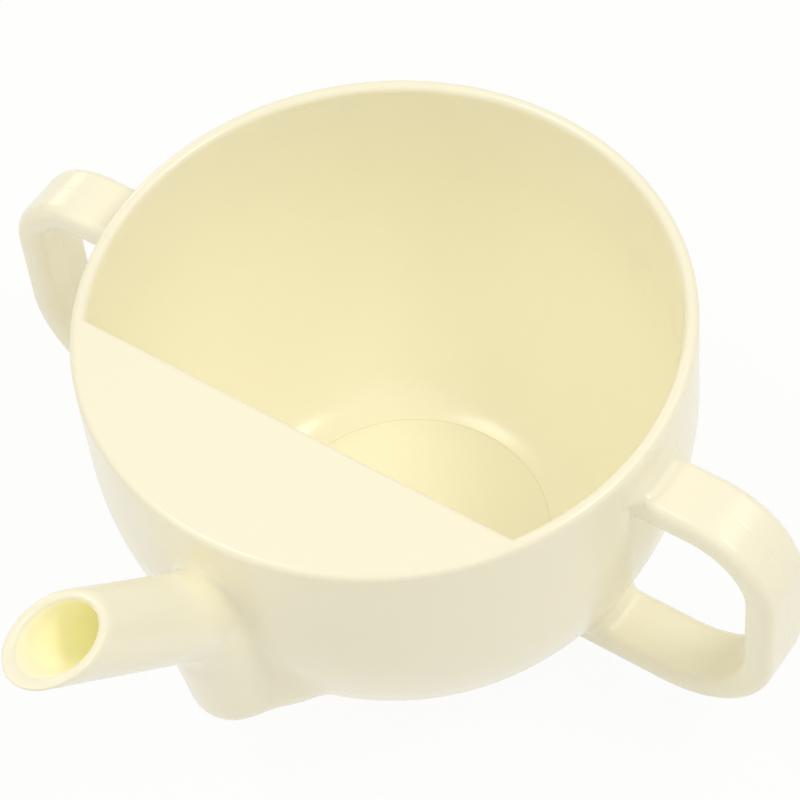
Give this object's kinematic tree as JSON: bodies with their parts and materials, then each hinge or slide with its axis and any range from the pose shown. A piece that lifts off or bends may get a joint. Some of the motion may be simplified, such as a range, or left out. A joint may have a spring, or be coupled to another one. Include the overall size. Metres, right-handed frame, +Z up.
{
  "type": "invalid feeder",
  "caption": "Round moulded drinking bowl with a half cover over its front, a raised tubular spout on a hollow column, and a strap handle on each side.",
  "frame": {"origin": "middle of the flat base, on the bowl's axis, at the height of the surface it stands on", "axes": "+Z up along the bowl's axis, -Y towards the spout, +X towards the right handle as seen from the spout's side"},
  "size_m": [0.1488, 0.1413, 0.08],
  "materials": {
    "cream_plastic": "smooth moulded cream plastic with a soft gloss",
    "floor_plastic": "smooth moulded cream plastic, flat and slightly duller"
  },
  "bodies": {
    "root": {"bowl": "cream_plastic", "base_disc": "floor_plastic", "half_cover": "cream_plastic", "spout_duct": "cream_plastic", "spout": "cream_plastic", "left_handle": "cream_plastic", "right_handle": "cream_plastic"}
  },
  "joints": []
}
